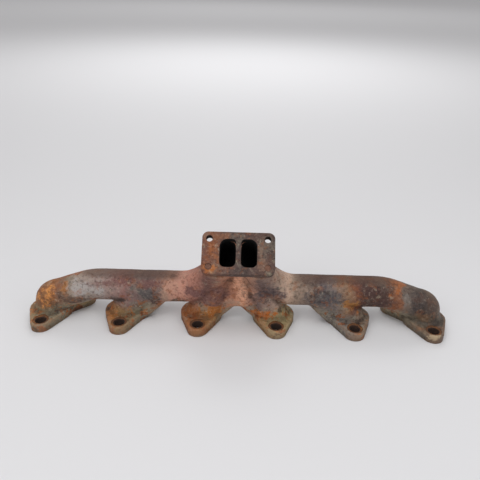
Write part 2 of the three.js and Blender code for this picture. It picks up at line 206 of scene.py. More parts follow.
@dataclass(frozen=True)
class Layout:
    """Sizes that place the casting's pipes and plates, in metres."""

    port_pitch: float = 120.65 * MM
    port_inboard: float = 8 * MM
    plate_thickness: float = 13 * MM
    parting: float = 0.3 * MM
    wall: float = 5.4 * MM
    branch_width: float = 50 * MM
    branch_depth: float = 45 * MM
    log_radius: float = 24.3 * MM
    log_height: float = 56.5 * MM
    slope_start: float = 226 * MM
    slope: float = math.radians(20)
    straight_end: float = 84 * MM
    branch_sweep: float = 68 * MM
    elbow_heel: float = 7 * MM
    foot_flare: float = 6 * MM
    foot_height: float = 32 * MM
    web_lean: float = 32 * MM
    web_height: float = 46 * MM
    branch_forward: float = 7 * MM
    lower_bolt_drop: float = 38 * MM
    upper_bolt_rise: float = 33 * MM
    upper_bolt_inboard: tuple[float, float, float] = (12 * MM, 36 * MM, 48 * MM)
    turbo_thickness: float = 13 * MM
    turbo_tilt: float = math.radians(44)
    turbo_size: tuple[float, float] = (104.6 * MM, 63 * MM)
    turbo_holes: tuple[float, float] = (84 * MM, 42 * MM)
    mouth: tuple[float, float] = (23.5 * MM, 42 * MM)
    divider: float = 7.2 * MM
    throat: float = 24 * MM

    @property
    def row_y(self) -> float:
        """Y of the row of port centres, from the port flange in the frame."""
        low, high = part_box("port_flange_1")
        return (low.y + high.y + self.lower_bolt_drop - self.upper_bolt_rise) / 2

    @property
    def turbo_normal(self) -> Vector:
        """Outward normal of the turbocharger flange."""
        return Vector((0, -math.sin(self.turbo_tilt), math.cos(self.turbo_tilt)))

    @property
    def turbo_up(self) -> Vector:
        """Direction up the turbocharger flange's slope."""
        return Vector((0, math.cos(self.turbo_tilt), math.sin(self.turbo_tilt)))

    @property
    def turbo_centre(self) -> Vector:
        """Centre of the turbocharger flange's face, from the flange in the frame."""
        low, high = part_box("turbo_flange")
        return (low + high) / 2 + self.turbo_normal * self.turbo_thickness / 2

    @property
    def turbo_frame(self) -> Matrix:
        """The turbocharger flange's own axes, with its face at z = 0."""
        return Matrix.Translation(self.turbo_centre) @ Matrix.Rotation(self.turbo_tilt, 4, "X")

    @property
    def branch_top(self) -> float:
        """Height at which the branches are parted from the log."""
        return self.log_height - self.log_radius - self.parting / 2

    @property
    def mouth_offset(self) -> float:
        """Distance from the middle to the centre of a gas opening."""
        return (self.divider + self.mouth[0]) / 2

    def port_x(self, index: int) -> float:
        """Distance of the port that is `index` places out from the middle of the engine."""
        return (index - 0.5) * self.port_pitch - self.port_inboard

    def upper_bolt(self, number: int) -> tuple[float, float]:
        """Place of a port flange's upper bolt, by the port's number."""
        x = self.flange_x(number)
        inboard = self.upper_bolt_inboard[int(abs(number - 3.5))]
        return x - math.copysign(inboard, x), self.row_y + self.upper_bolt_rise

    def flange_x(self, number: int) -> float:
        """X of a port flange's lower bolt, by the port's number."""
        return (number - 3.5) * self.port_pitch

    def at(self, side: Side, x: float, z: float, y: float = 0.0) -> Vector:
        """A point `x` out from the middle on one bank, `y` from the row of ports."""
        return Vector((side.value * x, self.row_y + y, z))

    def on_turbo(self, x: float, y: float, z: float) -> Vector:
        """A point given in the turbocharger flange's own axes."""
        return self.turbo_frame @ Vector((x, y, z))

    def throat_foot(self, side: Side) -> Vector:
        """Bottom centre of one half of the straight neck under the flange."""
        drop = self.turbo_thickness + self.throat
        return self.on_turbo(side.value * self.mouth_offset, 0, -drop)


LAYOUT = Layout()
ENGINE_UP = Vector((0, 1, 0))


# ---------------------------------------------------------------- pipes


@dataclass
class Pipe:
    """A pipe of changing section, drawn ring by ring along a centre line.

    Each ring is a superellipse: power 2 is round, higher is squarer. `line` is a list of
    Bezier pieces, each a list of its control points.
    """

    name: str
    line: list[list[Vector]]
    across: tuple[float, float]
    along: tuple[float, float]
    power: tuple[float, float] = (2.0, 2.0)
    flat: Vector = field(default_factory=lambda: ENGINE_UP)
    rings: int = 36
    sides: int = 44

    def _stations(self) -> list[tuple[float, Vector, Vector]]:
        """Evenly spaced places along the line.

        Returns:
            One (share of the length, point, direction) for each ring.
        """
        dense: list[Vector] = []
        for controls in self.line:
            for step in range(48 if len(controls) > 2 else 24):
                share = step / (48 if len(controls) > 2 else 24)
                points = list(controls)
                while len(points) > 1:
                    points = [a.lerp(b, share) for a, b in zip(points, points[1:])]
                dense.append(points[0])
        dense.append(self.line[-1][-1])
        path = np.array([tuple(p) for p in dense])
        length = np.concatenate([[0], np.cumsum(np.linalg.norm(np.diff(path, axis=0), axis=1))])
        shares = np.linspace(0, 1, self.rings)
        places = shares * length[-1]
        step = length[-1] * 0.004

        def point(distance: float) -> Vector:
            clipped = min(max(distance, 0.0), float(length[-1]))
            return Vector([float(np.interp(clipped, length, path[:, k])) for k in range(3)])

        return [
            (float(share), point(place), (point(place + step) - point(place - step)).normalized())
            for share, place in zip(shares, places)
        ]

    def _ring(self, share: float, centre: Vector, direction: Vector) -> np.ndarray:
        """Corners of the section at one place along the line."""
        blend = share * share * (3 - 2 * share)
        across, along, power = (
            pair[0] + (pair[1] - pair[0]) * blend for pair in (self.across, self.along, self.power)
        )
        up = (self.flat - direction * self.flat.dot(direction)).normalized()
        side = direction.cross(up)
        turn = np.linspace(0, 2 * math.pi, self.sides, endpoint=False)
        cosine, sine = np.cos(turn), np.sin(turn)
        reach = (np.abs(cosine) ** power + np.abs(sine) ** power) ** (-1 / power)
        return (
            np.array(centre)[None, :]
            + (cosine * reach * across)[:, None] * np.array(side)[None, :]
            + (sine * reach * along)[:, None] * np.array(up)[None, :]
        )

    def build(self) -> bpy.types.Object:
        """Draws the pipe as one closed solid, extruded from ring to ring.

        Returns:
            The pipe, with capped ends.
        """
        deselect_all()
        bpy.ops.mesh.primitive_circle_add(vertices=self.sides, radius=0.01, fill_type="NGON")
        pipe = bpy.context.active_object
        pipe.name = self.name
        before: Optional[np.ndarray] = None
        with editing(pipe):
            mesh = bmesh.from_edit_mesh(pipe.data)
            for station in self._stations():
                ring = self._ring(*station)
                if before is None:
                    for corner, place in zip(mesh.verts, ring):
                        corner.co = place
                else:
                    bpy.ops.mesh.extrude_region()
                    mesh = bmesh.from_edit_mesh(pipe.data)
                    for corner in (v for v in mesh.verts if v.select):
                        nearest = int(np.argmin(((before - np.array(corner.co)) ** 2).sum(1)))
                        corner.co = ring[nearest]
                bmesh.update_edit_mesh(pipe.data)
                before = ring
            bpy.ops.mesh.select_all(action="SELECT")
            bpy.ops.mesh.normals_make_consistent(inside=False)
        return pipe


@dataclass
class Pipework:
    """Every pipe of the casting: the outsides, or the gas passages a wall further in."""

    inset: float = 0.0

    def _log(self, side: Side) -> Pipe:
        """End elbow, sloping end and straight log."""
        lay = LAYOUT
        fall = math.tan(lay.slope)
        end = lay.port_x(3)
        elbow_z = lay.log_height - (end - lay.slope_start) * fall
        run, knee = 15 * MM, 12 * MM
        foot = lay.at(side, end, lay.plate_thickness + 4 * MM)
        corner = lay.at(side, end + lay.elbow_heel, elbow_z + lay.elbow_heel / 3)
        over = lay.at(side, end - run, elbow_z + run * fall)
        before = lay.at(side, lay.slope_start + knee, lay.log_height - knee * fall)
        after = lay.at(side, lay.slope_start - knee, lay.log_height)
        line = [
            [lay.at(side, end, -6 * MM), foot],
            [foot, corner, over],
            [over, before],
            [before, lay.at(side, lay.slope_start, lay.log_height), after],
            [after, lay.at(side, lay.straight_end, lay.log_height)],
        ]
        radius = lay.log_radius - self.inset
        return Pipe(
            f"log_{side.label}",
            line,
            across=(lay.branch_width / 2 - self.inset, radius),
            along=(lay.branch_depth / 2 - self.inset, radius),
            rings=72,
        )

    def _branch(self, side: Side) -> Pipe:
        """Middle branch, swept from its port into the log."""
        lay = LAYOUT
        x = lay.port_x(2)
        radius = lay.log_radius - self.inset - 1 * MM
        line = [
            [lay.at(side, x, -6 * MM), lay.at(side, x, 0)],
            [
                lay.at(side, x, 0),
                lay.at(side, x, lay.log_height * 0.6),
                lay.at(side, x - lay.branch_sweep * 0.3, lay.log_height),
                lay.at(side, x - lay.branch_sweep, lay.log_height),
            ],
        ]
        return Pipe(
            f"branch_{side.label}",
            line,
            across=(lay.branch_width / 2 - self.inset, radius),
            along=(lay.branch_depth / 2 - self.inset, radius),
        )

    def _centre_branch(self, side: Side) -> Pipe:
        """Branch next to the middle, drawn inwards and forwards into the throat."""
        lay = LAYOUT
        x = lay.port_x(1)
        top = lay.throat_foot(side) - lay.turbo_up * 3 * MM
        depth = lay.branch_depth / 2 - self.inset
        ahead = ENGINE_UP * lay.branch_forward
        line = [
            [lay.at(side, x, -6 * MM), lay.at(side, x, 0)],
            [lay.at(side, x, 0), lay.at(side, x, 44 * MM) - ahead,
             top - lay.turbo_normal * 34 * MM - ahead, top],
        ]
        return Pipe(
            f"centre_branch_{side.label}",
            line,
            across=(lay.branch_width / 2 - self.inset, self._mouth_reach(0)),
            along=(depth, depth),
        )

    def _mouth_reach(self, axis: int) -> float:
        """Half size of the passage or neck at the flange, across or along its slope."""
        return LAYOUT.mouth[axis] / 2 + LAYOUT.wall - self.inset

    def _collector(self, side: Side) -> Pipe:
        """The log's last turn, up and round into one half of the throat."""
        lay = LAYOUT
        top = lay.throat_foot(side)
        radius = lay.log_radius - self.inset
        line = [
            [lay.at(side, lay.straight_end + 6 * MM, lay.log_height),
             lay.at(side, lay.straight_end + 2 * MM, lay.log_height)],
            [
                lay.at(side, lay.straight_end + 2 * MM, lay.log_height),
                lay.at(side, lay.straight_end - 38 * MM, lay.log_height),
                top - lay.turbo_normal * 30 * MM,
                top,
            ],
        ]
        return Pipe(
            f"collector_{side.label}",
            line,
            across=(radius, self._mouth_reach(0)),
            along=(radius, self._mouth_reach(1)),
            power=(2.0, 4.5),
            flat=lay.turbo_up,
        )

    def _neck(self, side: Side) -> Pipe:
        """Straight neck under the flange."""
        lay = LAYOUT
        foot = lay.throat_foot(side)
        beyond = lay.turbo_thickness - (12 * MM if self.inset == 0 else -12 * MM)
        return Pipe(
            f"neck_{side.label}",
            [[foot - lay.turbo_normal * 6 * MM, foot + lay.turbo_normal * (lay.throat + beyond)]],
            across=(self._mouth_reach(0),) * 2,
            along=(self._mouth_reach(1),) * 2,
            power=(4.5, 4.5),
            flat=lay.turbo_up,
            rings=12,
        )

    def of_bank(self, side: Side) -> list[bpy.types.Object]:
        """Draws every pipe of one bank."""
        makers = (self._log, self._branch, self._centre_branch, self._collector, self._neck)
        return [maker(side).build() for maker in makers]


# ---------------------------------------------------------------- iron and rust


def tone(code: str) -> tuple[float, float, float, float]:
    """A #rrggbb colour as the linear colour that a shader takes."""
    parts = [int(code[k : k + 2], 16) / 255 for k in (1, 3, 5)]
    linear = [c / 12.92 if c <= 0.04045 else ((c + 0.055) / 1.055) ** 2.4 for c in parts]
    return (*linear, 1.0)


@dataclass(frozen=True)
class Patch:
    """A stained area of the skin: where it is, how far it reaches and what colour it leaves."""

    place: tuple[float, float, float]
    reach: tuple[float, float, float]
    colour: str
    strength: float = 1.0
    ragged: float = 0.5


class Paint:
    """Builds a material's node graph, one small step at a time."""

    def __init__(self, material: bpy.types.Material) -> None:
        """Starts from an empty graph on Object coordinates."""
        material.use_nodes = True
        self.tree = material.node_tree
        self.tree.nodes.clear()
        self.place = self.node("ShaderNodeTexCoord").outputs["Object"]

    def node(self, kind: str, **settings: object) -> bpy.types.Node:
        """A new node with its settings."""
        made = self.tree.nodes.new(kind)
        for key, value in settings.items():
            setattr(made, key, value)
        return made

    def feed(self, socket: bpy.types.NodeSocket, value: object) -> None:
        """Links a socket to another or sets its own value."""
        if isinstance(value, bpy.types.NodeSocket):
            self.tree.links.new(value, socket)
        else:
            socket.default_value = value

    def sum(self, kind: str, a: object, b: object = 0.0, clamp: bool = False) -> bpy.types.NodeSocket:
        """One arithmetic step on numbers."""
        made = self.node("ShaderNodeMath", operation=kind, use_clamp=clamp)
        self.feed(made.inputs[0], a)
        self.feed(made.inputs[1], b)
        return made.outputs[0]

    def vector(self, kind: str, a: object, b: object) -> bpy.types.NodeSocket:
        """One arithmetic step on vectors."""
        made = self.node("ShaderNodeVectorMath", operation=kind)
        self.feed(made.inputs[0], a)
        self.feed(made.inputs[1], b)
        return made.outputs["Value"] if kind == "LENGTH" else made.outputs[0]

    def noise(
        self, scale: float, detail: float = 3.0, rough: float = 0.55, place: object = None,
        colour: bool = False, shift: float = 0.0,
    ) -> bpy.types.NodeSocket:
        """Fractal noise.

        Args:
            scale: features to the metre.
            detail: octaves.
            rough: weight of the finer octaves.
            place: coordinates, Object ones by default.
            colour: three numbers rather than one.
            shift: distance that sets this noise apart from others of its scale.

        Returns:
            The noise, about 0.5 on average.
        """
        made = self.node("ShaderNodeTexNoise")
        at = self.place if place is None else place
        if shift:
            at = self.vector("ADD", at, (shift, shift * 1.7, -shift))
        self.feed(made.inputs["Vector"], at)
        made.inputs["Scale"].default_value = scale
        made.inputs["Detail"].default_value = detail
        made.inputs["Roughness"].default_value = rough
        return made.outputs["Color" if colour else "Fac"]

    def step(self, value: object, low: float, high: float) -> bpy.types.NodeSocket:
        """A smooth rise from 0 at `low` to 1 at `high`, or a fall if they're reversed."""
        made = self.node("ShaderNodeMapRange", interpolation_type="SMOOTHSTEP")
        self.feed(made.inputs["Value"], value)
        made.inputs["From Min"].default_value = min(low, high)
        made.inputs["From Max"].default_value = max(low, high)
        made.inputs["To Min"].default_value = 0.0 if low < high else 1.0
        made.inputs["To Max"].default_value = 1.0 if low < high else 0.0
        return made.outputs["Result"]

    def mix(
        self, share: object, a: object, b: object, blend: str = "MIX"
    ) -> bpy.types.NodeSocket:
        """One colour laid over another."""
        made = self.node("ShaderNodeMix", data_type="RGBA", blend_type=blend, clamp_factor=True)
        self.feed(made.inputs["Factor"], share)
        colours = [s for s in made.inputs if s.type == "RGBA"]
        self.feed(colours[0], a)
        self.feed(colours[1], b)
        return next(s for s in made.outputs if s.type == "RGBA")

    def band(self, value: object, stops: Sequence[tuple[float, str]]) -> bpy.types.NodeSocket:
        """Colours that follow a length.

        Args:
            value: length in metres.
            stops: (millimetres, colour) in rising order.

        Returns:
            The colour at that length.
        """
        low, high = stops[0][0], stops[-1][0]
        spread = self.node("ShaderNodeMapRange")
        self.feed(spread.inputs["Value"], value)
        spread.inputs["From Min"].default_value = low * MM
        spread.inputs["From Max"].default_value = high * MM
        ramp = self.node("ShaderNodeValToRGB")
        self.feed(ramp.inputs["Fac"], spread.outputs["Result"])
        elements = ramp.color_ramp.elements
        while len(elements) > 1:
            elements.remove(elements[-1])
        elements[0].position, elements[0].color = 0.0, tone(stops[0][1])
        for where, colour in stops[1:]:
            made = elements.new((where - low) / (high - low))
            made.color = tone(colour)
        return ramp.outputs["Color"]

    def patch_mask(self, patch: Patch, place: object, grain: object) -> bpy.types.NodeSocket:
        """How much of a patch lies here, with ragged edges."""
        offset = self.vector("SUBTRACT", place, tuple(v * MM for v in patch.place))
        scaled = self.vector("DIVIDE", offset, tuple(v * MM for v in patch.reach))
        distance = self.vector("LENGTH", scaled, (0, 0, 0))
        rough = self.sum("MULTIPLY", self.sum("SUBTRACT", grain, 0.5), patch.ragged * 4)
        edge = self.step(self.sum("ADD", distance, rough), 1.15, 0.7)
        return self.sum("MULTIPLY", edge, patch.strength)


@dataclass(frozen=True)
class Stain:
    """Blotches of one colour strewn over the skin, on the plates and above them."""

    scale: float
    threshold: float
    softness: float
    colour: str
    on_plates: float
    above: float
    shift: float


STAINS: tuple[Stain, ...] = (
    Stain(42, 0.53, 0.10, "#857f70", 0.65, 0.25, 0.50),
    Stain(58, 0.54, 0.07, "#8f4f24", 0.85, 0.35, 0.77),
    Stain(36, 0.57, 0.08, "#3d2e28", 0.75, 0.55, 1.31),
    Stain(120, 0.57, 0.07, "#b0672c", 0.70, 0.18, 0.91),
    Stain(95, 0.60, 0.08, "#b5a88f", 0.55, 0.30, 1.73),
)


@dataclass(frozen=True)
class CastIron:
    """As-cast iron, rusted and scaled by heat, its colours placed along the manifold."""

    name: str = "cast_iron_skin"
    log_tones: tuple[tuple[float, str], ...] = (
        (-332, "#6d4029"), (-288, "#8f5b34"), (-272, "#7d5a47"),
        (-258, "#86725f"), (-238, "#9a8b80"), (-214, "#978780"),
        (-178, "#8a655f"), (-160, "#73605c"), (-140, "#6b5a56"), (-120, "#80675f"),
        (-108, "#b28874"), (-84, "#bb8775"), (-66, "#a26f60"), (-48, "#71504a"),
        (-30, "#825a4e"), (-14, "#b27a60"), (2, "#dca283"),
        (32, "#665351"), (74, "#bda08c"), (86, "#96806f"),
        (130, "#5d5353"), (150, "#756964"), (164, "#8a6a50"),
        (178, "#6a4234"), (196, "#4f3631"), (222, "#523a33"), (238, "#84553b"),
        (252, "#6a5a50"), (270, "#4e443f"), (300, "#43392f"), (332, "#332c2a"),
    )
    flange_tones: tuple[tuple[float, str], ...] = (
        (-332, "#7a5236"), (-314, "#86765a"), (-288, "#7c725e"), (-262, "#8a8068"),
        (-236, "#978564"), (-204, "#95633a"), (-182, "#8a6a44"), (-160, "#7c7058"),
        (-132, "#8c806c"), (-86, "#96592f"), (-64, "#8e5e36"), (-40, "#937048"),
        (-10, "#8f8474"), (20, "#8c8474"), (40, "#9a744a"), (60, "#9a8a66"),
        (88, "#93855f"), (128, "#80766a"), (164, "#77716a"), (190, "#7a6656"),
        (214, "#6c665c"), (246, "#8a8068"), (282, "#6a5f50"), (300, "#574a3f"),
        (332, "#37302c"),
    )
    patches: tuple[Patch, ...] = ()
    stains: tuple[Stain, ...] = STAINS

    def material(self) -> bpy.types.Material:
        """Builds the finish.

        Returns:
            The material.
        """
        made = bpy.data.materials.new(self.name)
        paint = Paint(made)
        wide = paint.noise(22, 3, 0.6, colour=True)
        drift = paint.vector("SUBTRACT", wide, (0.5, 0.5, 0.5))
        drift = paint.vector("MULTIPLY", drift, (0.05, 0.035, 0.035))
        fine = paint.noise(160, 4, 0.65, colour=True)
        fray = paint.vector("SUBTRACT", fine, (0.5, 0.5, 0.5))
        fray = paint.vector("MULTIPLY", fray, (0.014, 0.01, 0.01))
        place = paint.vector("ADD", paint.vector("ADD", paint.place, drift), fray)
        split = paint.node("ShaderNodeSeparateXYZ")
        paint.feed(split.inputs[0], place)
        x, y, z = split.outputs
        log_colour = paint.band(x, self.log_tones)
        flange_colour = paint.band(x, self.flange_tones)
        height = paint.sum("SUBTRACT", z, paint.sum("MULTIPLY", y, 0.35))
        colour = paint.mix(paint.step(height, 0.026, 0.044), flange_colour, log_colour)
        grain = paint.noise(95, 5, 0.7)
        for patch in self.patches:
            mask = paint.patch_mask(patch, place, grain)
            colour = paint.mix(mask, colour, tone(patch.colour))
        return self._weather(paint, made, colour)

    def _weather(
        self, paint: Paint, made: bpy.types.Material, colour: bpy.types.NodeSocket
    ) -> bpy.types.Material:
        """Lays mottling, rust bloom, chalky specks and pits over the placed colours, paints shade into
        creases, along the top of the log and at the foot of the plates, and lightens proud ridges.
        """
        mottle = paint.noise(240, 6, 0.7, shift=0.31)
        pepper = paint.noise(1000, 3, 0.6, shift=0.13)
        low = paint.node("ShaderNodeSeparateXYZ")
        paint.feed(low.inputs[0], paint.place)
        height = paint.sum("SUBTRACT", low.outputs[2], paint.sum("MULTIPLY", low.outputs[1], 0.35))
        near_plate = paint.step(height, 0.062, 0.03)
        calm = paint.sum("MULTIPLY", paint.step(low.outputs[0], 0.245, 0.268), 0.72)
        calm = paint.sum("SUBTRACT", 1.0, calm)
        for layer in self.stains:
            field_of = paint.noise(layer.scale, 5, 0.66, shift=layer.shift)
            mask = paint.step(field_of, layer.threshold, layer.threshold + layer.softness)
            share = paint.sum("MULTIPLY", near_plate, layer.on_plates - layer.above)
            share = paint.sum("ADD", share, layer.above)
            share = paint.sum("MULTIPLY", share, calm)
            colour = paint.mix(paint.sum("MULTIPLY", mask, share), colour, tone(layer.colour))
        dark = paint.mix(paint.step(mottle, 0.5, 0.34), colour, tone("#6a5850"), "MULTIPLY")
        colour = paint.mix(0.6, colour, dark)
        light = paint.mix(paint.step(mottle, 0.54, 0.74), colour, tone("#b9a594"))
        colour = paint.mix(0.4, colour, light)
        # Painted shade: a dark band along the top of the log, away from the middle.
        painted_top_shade = paint.sum("MULTIPLY", paint.step(low.outputs[2], 0.0735, 0.0795),
                        paint.step(low.outputs[2], 0.088, 0.083))
        away = paint.step(paint.sum("ABSOLUTE", low.outputs[0]), 0.078, 0.1)
        painted_top_shade = paint.sum("MULTIPLY", painted_top_shade, paint.sum("MULTIPLY", away, 0.7))
        colour = paint.mix(painted_top_shade, colour, tone("#4a342b"))
        # Painted shade: the lowest 9 mm of the plates darkened, next to the floor.
        painted_foot_shade = paint.sum("MULTIPLY", paint.step(low.outputs[2], 0.009, 0.002), 0.45)
        colour = paint.mix(painted_foot_shade, colour, tone("#3b2f28"))
        # Painted shade: creases darkened by how deep they lie; proud ridges lightened.
        hollow = paint.node("ShaderNodeAttribute", attribute_name="hollow").outputs["Fac"]
        painted_crease_shade = paint.sum("MULTIPLY", paint.step(hollow, 0.1, 0.8), 0.42)
        colour = paint.mix(painted_crease_shade, colour, tone("#584842"), "MULTIPLY")
        ridge = paint.sum("MULTIPLY", paint.step(hollow, -0.35, -1.0), 0.2)
        colour = paint.mix(ridge, colour, tone("#b08a6c"))
        chalk = paint.sum("MULTIPLY", paint.step(pepper, 0.66, 0.74), paint.step(mottle, 0.45, 0.6))
        colour = paint.mix(paint.sum("MULTIPLY", chalk, 0.75), colour, tone("#ddd3c8"))
        pits = paint.sum("MULTIPLY", paint.step(pepper, 0.36, 0.28), 0.6)
        colour = paint.mix(pits, colour, tone("#2a1d18"))
        shader = paint.node("ShaderNodeBsdfPrincipled")
        paint.feed(shader.inputs["Base Color"], colour)
        paint.feed(
            shader.inputs["Roughness"],
            paint.sum(
                "MULTIPLY", paint.sum("ADD", 0.62, paint.sum("MULTIPLY", mottle, 0.3)),
                paint.sum("ADD", 0.55, paint.sum("MULTIPLY", calm, 0.45)),
            ),
        )
        shader.inputs["Specular IOR Level"].default_value = 0.35
        bump = paint.node("ShaderNodeBump")
        bump.inputs["Strength"].default_value = 0.55
        bump.inputs["Distance"].default_value = 0.0009
        relief = paint.sum("ADD", mottle, paint.sum("MULTIPLY", pepper, 0.5))
        paint.feed(bump.inputs["Height"], relief)
        paint.feed(shader.inputs["Normal"], bump.outputs["Normal"])
        out = paint.node("ShaderNodeOutputMaterial")
        paint.feed(out.inputs["Surface"], shader.outputs["BSDF"])
        return made


@dataclass(frozen=True)
class PlainIron:
    """Iron of one main colour: gas passages, bolt holes, machined faces and stud ends."""

    name: str
    base: str
    worn: str
    roughness: float = 0.85
    grain: float = 300.0
    bump: float = 0.4

    def material(self) -> bpy.types.Material:
        """Builds the finish."""
        made = bpy.data.materials.new(self.name)
        paint = Paint(made)
        mottle = paint.noise(self.grain, 6, 0.7)
        blotch = paint.noise(self.grain / 5, 4, 0.6, shift=0.4)
        share = paint.sum("MULTIPLY", paint.step(mottle, 0.4, 0.68), paint.step(blotch, 0.3, 0.7))
        colour = paint.mix(share, tone(self.base), tone(self.worn))
        shader = paint.node("ShaderNodeBsdfPrincipled")
        paint.feed(shader.inputs["Base Color"], colour)
        shader.inputs["Roughness"].default_value = self.roughness
        bump = paint.node("ShaderNodeBump")
        bump.inputs["Strength"].default_value = self.bump
        bump.inputs["Distance"].default_value = 0.0007
        paint.feed(bump.inputs["Height"], mottle)
        paint.feed(shader.inputs["Normal"], bump.outputs["Normal"])
        out = paint.node("ShaderNodeOutputMaterial")
        paint.feed(out.inputs["Surface"], shader.outputs["BSDF"])
        return made


@dataclass
class Finishes:
    """Every finish of the part, each built once."""

    skin: bpy.types.Material
    face: bpy.types.Material
    soot: bpy.types.Material
    bore: bpy.types.Material
    seat: bpy.types.Material
    stud: bpy.types.Material

    @classmethod
    def build(cls) -> "Finishes":
        """Builds all finishes."""
        return cls(
            skin=CastIron(patches=PATCHES).material(),
            face=CastIron("turbo_flange_skin", FACE_TONES, FACE_TONES, FACE_PATCHES).material(),
            soot=PlainIron("sooty_passage", "#060505", "#0e0b0a", 0.98).material(),
            bore=PlainIron("rusted_bore", "#2c1d15", "#4c3022", 0.9).material(),
            seat=PlainIron("rusted_seat", "#5c3c27", "#94602f", 0.9).material(),
            stud=PlainIron("snapped_stud", "#6a4636", "#8a6450", 0.75).material(),
        )


PATCHES: tuple[Patch, ...] = (
    Patch((-298, -16, 44), (15, 20, 17), "#cf8a48", 0.85, 1.0),
    Patch((-262, 14, 72), (52, 12, 11), "#8c4f2a", 0.9, 0.6),
    Patch((-258, -14, 58), (13, 11, 8), "#a06a3a", 0.8, 0.8),
    Patch((-226, -16, 62), (26, 12, 12), "#a8a29f", 0.75, 0.7),
    Patch((-246, -14, 42), (28, 14, 9), "#5b4438", 0.85, 0.6),
    Patch((-140, -18, 54), (27, 16, 15), "#56504f", 0.95, 0.5),
    Patch((-194, -16, 42), (14, 12, 7), "#4e433f", 0.8, 0.6),
    Patch((-164, -12, 72), (60, 9, 9), "#6a4440", 0.7, 0.5),
    Patch((-84, -16, 42), (12, 14, 8), "#4c4033", 0.9, 0.6),
    Patch((-60, -22, 62), (20, 14, 12), "#6b4a48", 0.8, 0.5),
    Patch((-26, -26, 60), (14, 12, 22), "#6e4c48", 0.7, 0.5),
    Patch((3, -30, 60), (16, 26, 32), "#e0a88a", 1.0, 0.5),
    Patch((46, -24, 62), (24, 14, 14), "#57494a", 0.9, 0.5),
    Patch((96, -10, 60), (14, 20, 16), "#8a7668", 0.6, 0.8),
    Patch((130, -14, 54), (32, 20, 18), "#504b4d", 0.85, 0.5),
    Patch((172, -16, 44), (16, 14, 9), "#a9743a", 0.85, 0.9),
    Patch((166, 8, 74), (16, 12, 8), "#96502a", 0.8, 0.7),
    Patch((206, -8, 60), (24, 22, 20), "#47312d", 0.9, 0.4),
    Patch((240, -2, 68), (12, 18, 14), "#9c5a2e", 0.9, 0.8),
    Patch((252, -12, 54), (14, 12, 12), "#76706a", 0.6, 0.8),
    Patch((292, -10, 50), (26, 22, 22), "#3b3230", 0.8, 0.4),
    Patch((284, -20, 26), (16, 10, 10), "#7a5a40", 0.6, 0.8),
    Patch((-292, -50, 4), (24, 16, 9), "#322721", 0.9, 0.5),
    Patch((-200, -26, 16), (14, 14, 12), "#a56a34", 0.7, 0.9),
    Patch((-42, -20, 24), (20, 14, 10), "#b06a2a", 0.85, 0.9),
    Patch((44, -20, 24), (18, 14, 9), "#b8672a", 0.95, 0.9),
    Patch((300, -48, 10), (14, 14, 8), "#b3a283", 0.9, 0.7),
    Patch((254, 30, 13), (20, 16, 5), "#b5a88c", 0.85, 0.6),
    Patch((-254, 30, 13), (20, 16, 5), "#a8906a", 0.8, 0.6),
)

FACE_TONES: tuple[tuple[float, str], ...] = (
    (-56, "#6b4335"), (-44, "#7c4f3b"), (-32, "#744d3c"), (-22, "#624a42"),
    (-8, "#52423d"), (6, "#4f403b"), (20, "#57433d"), (34, "#59433b"), (56, "#463833"),
)

FACE_PATCHES: tuple[Patch, ...] = (
    Patch((-41, -54, 124), (9, 7, 7), "#a8642f", 0.85, 0.9),
    Patch((-35, -34, 146), (5, 14, 14), "#95582f", 0.55, 1.0),
    Patch((-46, -40, 140), (8, 24, 24), "#5f4038", 0.6, 0.7),
    Patch((-16, -16, 160), (30, 6, 6), "#85573c", 0.7, 0.7),
    Patch((40, -44, 132), (16, 14, 14), "#5b443c", 0.7, 0.5),
    Patch((32, -42, 134), (6, 14, 14), "#8a6a58", 0.5, 0.9),
)


# ---------------------------------------------------------------- casting


